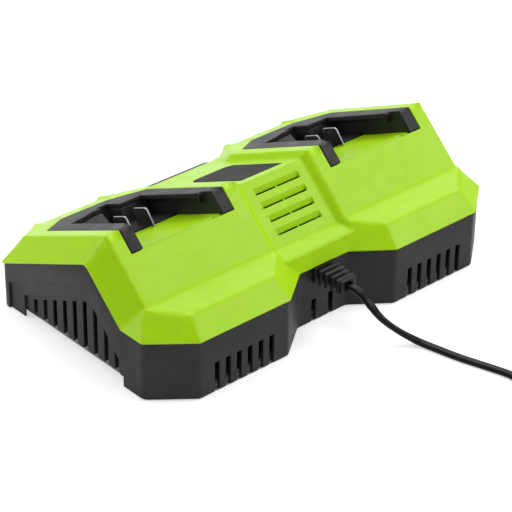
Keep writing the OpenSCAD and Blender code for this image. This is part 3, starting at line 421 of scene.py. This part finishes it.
def metal(name, dark, light, roughness, stretch, scratch):
    """A metal whose scratches run along the stretched axis; scratch is their depth in mm."""
    material, tree, shader = new_finish(name, roughness, Metallic=1)
    place = millimetres(tree, stretch)
    streaks = cloud(tree, place, STREAK_SIZE, 4)
    tarnish = between(tree, cloud(tree, place, TARNISH_SIZE, 3), 0, 1)
    colour = blend_colours(tree, tarnish, dark, light)
    tree.links.new(colour, shader.inputs["Base Color"])
    gloss = between(tree, streaks, roughness - 0.08, roughness + 0.12)
    tree.links.new(gloss, shader.inputs["Roughness"])
    dent(tree, shader, streaks, scratch)
    return material


finish.update({
    "contact_metal": metal("nickel_blade", grey(0.1), (0.16, 0.155, 0.15), 0.36, (1, 6, 1), 0.01),
    "screw_steel": metal("black_zinc_screw", (0.05, 0.05, 0.055), (0.1, 0.1, 0.105),
                         0.4, (1, 1, 3), 0.01),
    "aluminium": metal("extruded_sink", (0.6, 0.6, 0.62), (0.74, 0.74, 0.76),
                       0.34, (8, 1, 1), 0.01),
    "pin_brass": metal("plated_pin", (0.6, 0.58, 0.52), (0.74, 0.72, 0.66),
                       0.22, (6, 1, 1), 0.006),
})
# A paler nickel for the blades' rounded edges: rubbed wear and a painted highlight.
rubbed_and_highlit_edge = metal("nickel_edge_wear_and_painted_highlight", (0.62, 0.61, 0.58), (0.85, 0.84, 0.81), 0.28, (1, 3, 1), 0.02)
print(len(finish), "finishes with the metals")


# %% Mix the windows, the glass, the board and the windings
def window_in_painted_shade():
    """Glossy clear plastic coloured a nearly black green, as painted shade."""
    material, tree, shader = new_finish("window_in_painted_shade", 0.14, IOR=1.5)
    place = millimetres(tree)
    painted_shade_mottle = cloud(tree, place, 1.5, 3)
    # Both greens are painted shade; the window itself is clear.
    colour = blend_colours(tree, painted_shade_mottle, (0.012, 0.03, 0.004), (0.03, 0.065, 0.008))
    tree.links.new(colour, shader.inputs["Base Color"])
    dent(tree, shader, cloud(tree, place, 0.8, 2), 0.01)
    return material


def fuse_tube():
    """A glass tube, faintly wavy."""
    material, tree, shader = new_finish("fuse_tube", 0.05, IOR=1.5, Transmission_Weight=0.9)
    place = millimetres(tree)
    colour = blend_colours(tree, cloud(tree, place, 2), (0.8, 0.84, 0.84), (0.9, 0.93, 0.93))
    tree.links.new(colour, shader.inputs["Base Color"])
    dent(tree, shader, cloud(tree, place, 1.2), 0.01)
    return material


def solder_mask():
    """A green board with paler tracks under the mask."""
    material, tree, shader = new_finish("solder_mask", 0.3)
    place = millimetres(tree)
    tracks = tree.nodes.new("ShaderNodeTexBrick")
    tracks.inputs["Scale"].default_value = 0.12
    tracks.inputs["Mortar Size"].default_value = 0.05
    tree.links.new(place, tracks.inputs["Vector"])
    mask = blend_colours(tree, cloud(tree, place, 4, 3), (0.008, 0.09, 0.03), (0.014, 0.13, 0.045))
    colour = blend_colours(tree, tracks.outputs["Fac"], mask, (0.03, 0.24, 0.08))
    tree.links.new(colour, shader.inputs["Base Color"])
    dent(tree, shader, tracks.outputs["Fac"], 0.04)
    return material


WAVE_PER_MM = 0.314


def wound(name, dark, light, pitch, roughness, metallic):
    """Wire or tape wound in turns pitch mm apart."""
    material, tree, shader = new_finish(name, roughness, Metallic=metallic)
    place = millimetres(tree)
    turns = tree.nodes.new("ShaderNodeTexWave")
    turns.bands_direction = "Z"
    turns.inputs["Scale"].default_value = WAVE_PER_MM / pitch
    turns.inputs["Distortion"].default_value = 0.4
    tree.links.new(place, turns.inputs["Vector"])
    colour = blend_colours(tree, turns.outputs["Fac"], dark, light)
    tree.links.new(colour, shader.inputs["Base Color"])
    dent(tree, shader, turns.outputs["Fac"], pitch / 4)
    return material


finish.update({
    "clear_window": window_in_painted_shade(),
    "fuse_glass": fuse_tube(),
    "board_green": solder_mask(),
    "tape_yellow": wound("winding_tape", (0.62, 0.38, 0.03), (0.8, 0.55, 0.08), 3, 0.3, 0),
    "copper_wire": wound("enamelled_copper", (0.35, 0.12, 0.03), (0.7, 0.32, 0.12), 0.9, 0.28, 1),
})

# %% [markdown]
# ## Put the lead in place
# The lead stands for the plain tube and ring of the CAD model and rides on the case. The solids
# stay behind it for collision, so nothing is lost when the prettier mesh takes their place.

lead.data.materials.append(finish["lead_black"])
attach(lead, "case")
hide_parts("cord_run", "cord_coil", "cord_tail")

# %% [markdown]
# ## Rounded edges
# No moulded edge is perfectly sharp. Rims, slots and louvres have a few tenths of a millimetre,
# which catch the light as thin bright lines, and the big form edges of the shell have 4 mm and
# more. The CAD solids are left sharp, because exact solids are easier to check. A voxel remesh would
# soften every edge alike and lose the slots. So each piece is copied, its flat faces are joined
# again, and the small edges get a bevel whose width is limited by the faces beside it. Only edges
# that an eye could reach are rounded.

# %% See which edges lie open
LOOK_TILTS = (-0.5, 0, 0.45, 0.9, 1.3)
LOOKS_AROUND = 10
START_OFF = 0.25 * MM
GRAZING = 0.05


def everything():
    """All the CAD solids in one search tree."""
    points, faces = [], []
    for node in frame["nodes"].values():
        first = len(points)
        points += [vertex.co.copy() for vertex in node.data.vertices]
        faces += [[first + k for k in face.vertices] for face in node.data.polygons]
    return BVHTree.FromPolygons(points, faces)


solids = everything()
LOOKS = [Vector((math.cos(a) * math.cos(e), math.sin(a) * math.cos(e), math.sin(e)))
         for e in LOOK_TILTS for a in [k * math.tau / LOOKS_AROUND for k in range(LOOKS_AROUND)]]


def lies_open(point, normal):
    """Whether some straight line of sight leaves the point without meeting the charger."""
    start = point + normal * START_OFF
    outward = (look for look in LOOKS if look.dot(normal) > GRAZING)
    return any(solids.ray_cast(start, look)[0] is None for look in outward)


print("looking along", len(LOOKS), "directions")


# %% Find the room beside an edge
FACE_SHARE = 0.42
MEETS_SQUARE = 0.3
RUNS_ON = 0.4


def middle_of(edge):
    """The point halfway along an edge."""
    return (edge.verts[0].co + edge.verts[1].co) / 2


def gap_between(edge, other, near):
    """The least distance between two edges, looked for from both sides, if it is under near."""
    apart = (middle_of(edge) - middle_of(other)).length
    if apart > near + (edge.calc_length() + other.calc_length()) / 2:
        return near
    for line, to in ((edge, other), (other, edge)):
        start, end = (corner.co for corner in to.verts)
        along = end - start
        for t in (0, 0.25, 0.5, 0.75, 1):
            point = line.verts[0].co.lerp(line.verts[1].co, t)
            reach = min(max((point - start).dot(along) / max(along.length_squared, 1e-12), 0), 1)
            near = min(near, (start + along * reach - point).length)
    return near


def room_beside(edge, widths):
    """The widest bevel that the edges around the two faces leave room for."""
    room = widths[edge]
    along = (edge.verts[1].co - edge.verts[0].co).normalized()
    for corner in edge.verts:
        for other in corner.link_edges:
            lean = (other.other_vert(corner).co - corner.co).normalized()
            square = lean.cross(along).length
            if other is not edge and square > MEETS_SQUARE:
                room = min(room, other.calc_length() * square * FACE_SHARE)
    for face in edge.link_faces:
        for other in face.edges:
            if not set(other.verts) & set(edge.verts):
                room = gap_between(edge, other, room / FACE_SHARE) * FACE_SHARE
    return room


def run_on(widths):
    """Edges that run on in nearly the same direction share the narrower of their widths."""
    changed = True
    while changed:
        changed = False
        for edge in widths:
            along = (edge.verts[1].co - edge.verts[0].co).normalized()
            for corner in edge.verts:
                for other in corner.link_edges:
                    if other is edge or other not in widths:
                        continue
                    lean = (other.other_vert(corner).co - corner.co).normalized()
                    narrower = widths[other] < widths[edge] * 0.999
                    if narrower and lean.cross(along).length < RUNS_ON:
                        widths[edge] = widths[other]
                        changed = True
    return widths


# %% [markdown]
# ## Melting the form edges
# A bevel can't pass the small corners where a form edge ends at a rim, so it would stay far too
# narrow there. The form edges are softened another way: the mesh near them is cut finer, and then
# its points are relaxed, each one moved towards the middle of its neighbours, over and over. Flat
# places don't change, but an edge melts into a round, as it does in a polished mould. The rims and
# slots are held still meanwhile. A last step thins the points out again.

# %% Melt edges into rounds
FORM_RADIUS = 1.2
CUT_STEP = 0.4
MELT_ROUNDS = 18
MELT_REACH = 1.3
MELT_RATE = 0.5
POINTS_LEFT = 90000
HELD_FOLD = math.radians(9)
ON_THE_LINE = 0.02 * MM
MOST_CUTS = 12


def cut_finer(mesh, lines, step):
    """Splits the triangles near the form edges until they are about step of the radius long."""
    for _ in range(MOST_CUTS):
        long_edges = []
        for edge in mesh.edges:
            length = edge.calc_length()
            if length < step * lines.least:
                continue
            radius, away = lines.find(middle_of(edge))
            if length > step * radius and away < MELT_REACH * radius + length / 2:
                long_edges.append(edge)
        if not long_edges:
            break
        bmesh.ops.subdivide_edges(mesh, edges=long_edges, cuts=1, use_grid_fill=True)
        bmesh.ops.triangulate(mesh, faces=[face for face in mesh.faces if len(face.verts) > 3])


class Lines:
    """The form edges, to look up how far away the nearest one is and how round it is."""

    def __init__(self, edges):
        self.edges = edges
        self.least = min(radius for _, _, radius in edges)
        spots = []
        for index, (start, end, radius) in enumerate(edges):
            count = max(2, int((end - start).length / (CUT_STEP * radius)))
            spots += [(start.lerp(end, k / count), index) for k in range(count + 1)]
        self.owner = [index for _, index in spots]
        self.tree = KDTree(len(spots))
        for number, (spot, _) in enumerate(spots):
            self.tree.insert(spot, number)
        self.tree.balance()

    def find(self, point):
        """The nearest form edge's radius and its distance."""
        _, number, away = self.tree.find(point)
        start, end, radius = self.edges[self.owner[number]]
        if away < 2 * radius:
            along = end - start
            reach = min(max((point - start).dot(along) / along.length_squared, 0), 1)
            away = (start + along * reach - point).length
        return radius, away


def melt(data, edges):
    """Relaxes a mesh around its form edges, given as (start, end, radius) in metres."""
    lines = Lines(edges)
    mesh = bmesh.new()
    mesh.from_mesh(data)
    bmesh.ops.triangulate(mesh, faces=mesh.faces)
    cut_finer(mesh, lines, CUT_STEP)
    mesh.verts.ensure_lookup_table()
    count = len(mesh.verts)
    held = np.zeros(count, bool)
    for edge in mesh.edges:
        if edge.calc_face_angle(0) > HELD_FOLD:
            if lines.find(middle_of(edge))[1] > ON_THE_LINE:
                held[[edge.verts[0].index, edge.verts[1].index]] = True
    rounds = np.zeros(count)
    for index, vertex in enumerate(mesh.verts):
        radius, away = lines.find(vertex.co)
        if not held[index] and away < MELT_REACH * radius:
            rounds[index] = MELT_ROUNDS * (radius / lines.least) ** 2
    loose = np.flatnonzero(rounds)
    new_number = np.full(count, -1)
    new_number[loose] = np.arange(len(loose))
    pairs = np.array([[edge.verts[0].index, edge.verts[1].index] for edge in mesh.edges])
    pairs = np.vstack([pairs, pairs[:, ::-1]])
    pairs = pairs[new_number[pairs[:, 0]] >= 0]
    pulled, pulling = new_number[pairs[:, 0]], pairs[:, 1]
    neighbours = np.bincount(pulled, minlength=len(loose))[:, None]
    spots = np.array([vertex.co for vertex in mesh.verts])
    for turn in range(int(rounds.max())):
        total = np.stack([np.bincount(pulled, spots[pulling, k], len(loose)) for k in range(3)], 1)
        rate = MELT_RATE * (rounds[loose] > turn)[:, None]
        spots[loose] += (total / neighbours - spots[loose]) * rate
    for index in loose:
        mesh.verts[index].co = spots[index]
    mesh.to_mesh(data)
    mesh.free()
    return len(data.vertices)


# %% Tell a form edge from the edge of a rim
RIM_WIDTH = 1.5 * MM
NOT_PARALLEL = 0.5


def is_rim(edge):
    """Whether a face beside the edge is only a narrow strip along it."""
    start, end = (corner.co for corner in edge.verts)
    along = (end - start).normalized()
    for face in edge.link_faces:
        for other in face.edges:
            first, last = (corner.co for corner in other.verts)
            if other is edge or (last - first).normalized().cross(along).length > NOT_PARALLEL:
                continue
            close = gap_between(edge, other, RIM_WIDTH) < RIM_WIDTH
            if close and not set(other.verts) & set(edge.verts):
                return True
    return False


# %% Prepare a copy of a solid
SAME_POINT = 0.001 * MM
FLAT_FOLD = math.radians(0.5)
SHARPEST = math.radians(18)
LEAST_BEVEL = 0.1 * MM


def joined_copy(node):
    """The solid's mesh with its flat faces joined again, ready for a bevel."""
    mesh = bmesh.new()
    mesh.from_mesh(frame["nodes"][node].data)
    bmesh.ops.remove_doubles(mesh, verts=mesh.verts, dist=SAME_POINT)
    bmesh.ops.dissolve_limit(mesh, angle_limit=FLAT_FOLD, verts=mesh.verts, edges=mesh.edges)
    bmesh.ops.recalc_face_normals(mesh, faces=mesh.faces)
    return mesh


def sort_edges(mesh, radius_at):
    """Bevel widths of the small open edges, and the form edges that are to be melted."""
    widths, form_edges = {}, []
    for edge in mesh.edges:
        if len(edge.link_faces) != 2 or edge.calc_face_angle(0) < SHARPEST:
            continue
        middle = middle_of(edge)
        normal = (edge.link_faces[0].normal + edge.link_faces[1].normal).normalized()
        if lies_open(middle, normal):
            radius = radius_at(middle / MM, edge)
            if radius > FORM_RADIUS and not is_rim(edge):
                start, end = (corner.co.copy() for corner in edge.verts)
                form_edges.append((start, end, radius * MM))
            else:
                widths[edge] = radius * MM * math.tan(edge.calc_face_angle(0) / 2)
    return run_on({edge: room_beside(edge, widths) for edge in widths}), form_edges


def settle(piece):
    """Turns a piece's modifiers into its own mesh."""
    bpy.context.view_layer.update()
    settled = piece.evaluated_get(bpy.context.evaluated_depsgraph_get())
    piece.data = bpy.data.meshes.new_from_object(settled)
    piece.modifiers.clear()


# %% Round a piece
def soften(node, radius_at, segments=3, edge_finish=None):
    """A rounded copy of a CAD piece that stands for it; radius_at gives a radius in mm."""
    mesh = joined_copy(node)
    weight = mesh.edges.layers.float.new("bevel_weight_edge")
    limited, form_edges = sort_edges(mesh, radius_at)
    widest = max(limited.values(), default=LEAST_BEVEL)
    for edge, width in limited.items():
        edge[weight] = width / widest
    data = bpy.data.meshes.new(node + "_rounded")
    mesh.to_mesh(data)
    mesh.free()
    piece = bpy.data.objects.new(node + "_rounded", data)
    bpy.context.scene.collection.objects.link(piece)
    data.materials.append(finish[slot_of[node]])
    bevel = piece.modifiers.new("rounding", "BEVEL")
    bevel.limit_method = "WEIGHT"
    bevel.width = widest
    bevel.segments = segments
    bevel.use_clamp_overlap = False
    if edge_finish:
        data.materials.append(edge_finish)
        bevel.material = 1
    if form_edges:
        settle(piece)
        points = melt(piece.data, form_edges)
        thin = piece.modifiers.new("fewer_points", "DECIMATE")
        thin.ratio = min(1, POINTS_LEFT / points)
        settle(piece)
        print(node, "melted with", points, "points,", len(piece.data.vertices), "kept")
    piece.data.shade_smooth()
    even = piece.modifiers.new("even_shading", "WEIGHTED_NORMAL")
    even.keep_sharp = True
    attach(piece, frame["nodes"][node]["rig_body"])
    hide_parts(node)
    print(node, len(limited), "small edges, widest", round(widest / MM, 2), "mm;",
          len(form_edges), "form edges")
    return piece


# %% [markdown]
# ## The green shell
# The shell's roof, bands and corners have generous radii, and the openings for the rail frames, the
# louvres and the small windows are crisp. We could mark each edge by hand, but a new pack of the
# solids may number them in another way. So a rule that looks at where an edge lies tells them apart.

# %% Round the shell
RIDGE_Y = 19
OPENING_RADIUS = 0.35
RIDGE_RADIUS = 6
FORM_EDGE_RADIUS = 4.5


def shell_radius(at, edge):
    """Form edges are soft, the ridge is softer, and openings are crisp."""
    side = abs(at.x)
    in_bay = 37 < side < 121 and -60 < at.y < 32
    in_middle = side < 21 and -60 < at.y < 50
    if in_bay or in_middle or at.z < 29:
        return OPENING_RADIUS
    return RIDGE_RADIUS if abs(at.y - RIDGE_Y) < 1.2 else FORM_EDGE_RADIUS


soften("upper_shell", shell_radius, segments=4)

# %% [markdown]
# ## The dark pieces
# The housing's upright corners are soft, and its slots are crisp. The rail frames bend over the
# ridge with the roof, and everything small has a radius of a few tenths of a millimetre. The blades
# get a second, much paler finish on their rounded edges: partly nickel that the packs have rubbed
# bright, partly a painted highlight.

# %% Round the dark pieces
def rise_of(edge):
    """How far an edge climbs from its one end to the other."""
    return abs(edge.verts[0].co.z - edge.verts[1].co.z)


def housing_radius(at, edge):
    """Upright corners of the walls are soft, the slots are crisp."""
    return 3 if rise_of(edge) > 20 * MM and edge.calc_face_angle(0) < 1.2 else 0.4


def rail_radius(at, edge):
    """The flange bends softly over the ridge."""
    return 4 if rise_of(edge) < 0.2 * MM and abs(at.y - RIDGE_Y) < 2 else 0.5


def evenly(radius):
    """A rule that gives every edge the same radius."""
    return lambda at, edge: radius


CRISP = evenly(0.3)

soften("lower_housing", housing_radius)
for side in ("left", "right"):
    soften("rail_frame_" + side, rail_radius)
    soften("terminal_block_" + side, evenly(0.5))
    soften("contact_blades_" + side, CRISP, edge_finish=rubbed_and_highlit_edge)
    soften("light_pipes_" + side, CRISP)
for node in ("name_plate", "rubber_feet", "case_screws", "fan_frame", "fan_rotor"):
    soften(node, CRISP)

# %% [markdown]
# ## The pieces on the lead
# The ribbed relief keeps the lead from being bent sharply where it leaves the housing, a tie holds
# the coil, and the plug closes the far end. They are rounded like the others.

relief = soften("strain_relief", evenly(0.6))
plug = soften("plug_body", evenly(1.2))
pins = soften("plug_pins", CRISP)
tie = soften("cord_tie", CRISP)

# %% [markdown]
# ## The pieces inside
# The board and its parts are seen only through the slots and louvres. Rounding them would cost time
# that nobody sees, so the CAD solids stay as they are and only get their finish.

# %% Finish the inner pieces
for name, node in frame["nodes"].items():
    node.data.materials.clear()
    node.data.materials.append(finish[slot_of[name]])
print("finished", len(frame["nodes"]), "CAD pieces")

# %% [markdown]
# ## Floor
# The charger stands on a seamless white sweep. A white floor only shows a shadow where it isn't lit
# beyond white, so the floor has a plain pale colour and adds a little light of its own for what
# looks at it directly. That lifts it to white and leaves the soft shadow near the housing. Light of
# its own would shine out of the slots as well, so a second sheet without it lies under the housing:
# a painted shade that keeps the floor seen through the slots and near the base dark.

# %% Lay the floor
FLOOR_SIZE = 30
FLOOR_GLOW = 0.54
FLOOR_COLOUR = (0.86, 0.86, 0.87, 1)
WHITE = (1, 1, 1, 1)


def looked_at(tree):
    """1 for rays from the camera, from gloss and through glass, 0 for all others."""
    path = tree.nodes.new("ShaderNodeLightPath")
    total = path.outputs["Is Camera Ray"]
    for ray in ("Is Glossy Ray", "Is Transmission Ray"):
        add = tree.nodes.new("ShaderNodeMath")
        add.operation = "MAXIMUM"
        tree.links.new(total, add.inputs[0])
        tree.links.new(path.outputs[ray], add.inputs[1])
        total = add.outputs[0]
    return total


def paper(name, glow_strength):
    """Pale paper that glows a little for what looks at it."""
    material, tree, shader = new_finish(name, 0.9)
    shader.inputs["Base Color"].default_value = FLOOR_COLOUR
    shader.inputs["Specular IOR Level"].default_value = 0
    shader.inputs["Emission Color"].default_value = WHITE
    glow = tree.nodes.new("ShaderNodeMath")
    glow.operation = "MULTIPLY"
    glow.inputs[1].default_value = glow_strength
    tree.links.new(looked_at(tree), glow.inputs[0])
    tree.links.new(glow.outputs[0], shader.inputs["Emission Strength"])
    return material


def sheet_of_paper(name, corners, height, glow_strength):
    """A flat sheet of the floor between corners, in metres."""
    sheet = bpy.data.meshes.new(name)
    sheet.from_pydata([(x, y, height) for x, y in corners], [], [range(len(corners))])
    sheet.materials.append(paper(name, glow_strength))
    lying = bpy.data.objects.new(name, sheet)
    bpy.context.scene.collection.objects.link(lying)


half = FLOOR_SIZE / 2
square = [(-half, -half), (half, -half), (half, half), (-half, half)]
sheet_of_paper("floor", square, 0, FLOOR_GLOW)

# %% Lay a sheet without glow under the housing, as painted shade
UNDER_RIGHT = [
    (31, -69), (54, -84), (113, -84), (131.8, -74.6), (131.8, 69), (113, 84), (45, 84), (21, 66),
]
UNDER_HEIGHT = 0.05 * MM

under_left = [(-x, y) for x, y in reversed(UNDER_RIGHT)]
under = [(x * MM, y * MM) for x, y in UNDER_RIGHT + under_left]
# This sheet is painted shade: without the glow it stays darker than the floor around it.
sheet_of_paper("painted_shade_under_housing", under, UNDER_HEIGHT, 0)
print("floor and the sheet of", len(under), "corners under the housing")

# %% [markdown]
# ## Light
# Four soft boxes light the charger. The strongest hangs high behind the far end and lights the roof
# and the rear bands. A second one, high in front of that end, lifts the front slopes. A small one
# overhead brightens the corner facets, and a low one past the near end brightens the front of that
# end. The rest comes from the room, which is brighter overhead than near the table. An evenly white
# room would put a pale sheen on every wall, and plastic keeps its deep colour only where it mirrors
# something dark.

# %% Hang the lamps
def softbox(name, at, aims_at, size, watts):
    """A square area lamp that faces a point."""
    lamp = bpy.data.lights.new(name, "AREA")
    lamp.size = size
    lamp.energy = watts
    box = bpy.data.objects.new(name, lamp)
    box.location = at
    box.rotation_euler = (Vector(aims_at) - Vector(at)).to_track_quat("-Z", "Y").to_euler()
    bpy.context.scene.collection.objects.link(box)
    print(name, "with", watts, "W")


MIDDLE = (0, 0, 0.04)
NEAR_END = (0.14, -0.05, 0.04)

softbox("front_box", (-0.9, -0.7, 1.05), MIDDLE, 1.1, 9)
softbox("roof_box", (-1.15, 0.95, 1.3), MIDDLE, 1, 13)
softbox("edge_box", (0.12, -0.12, 1.3), MIDDLE, 0.4, 2.2)
softbox("end_box", (0.62, -0.5, 0.3), NEAR_END, 0.4, 1.5)

# %% Light the room
LOW_LIGHT = 0.3
HIGH_LIGHT = 0.55

world = bpy.data.worlds.new("grey_room")
world.use_nodes = True
tree = world.node_tree
direction = tree.nodes.new("ShaderNodeTexCoord")
height = tree.nodes.new("ShaderNodeSeparateXYZ")
tree.links.new(direction.outputs["Generated"], height.inputs["Vector"])
strength = between(tree, height.outputs["Z"], LOW_LIGHT, HIGH_LIGHT, 0, 1)
tree.nodes["Background"].inputs["Color"].default_value = WHITE
tree.links.new(strength, tree.nodes["Background"].inputs["Strength"])
bpy.context.scene.world = world
bpy.context.scene.view_settings.view_transform = "Standard"
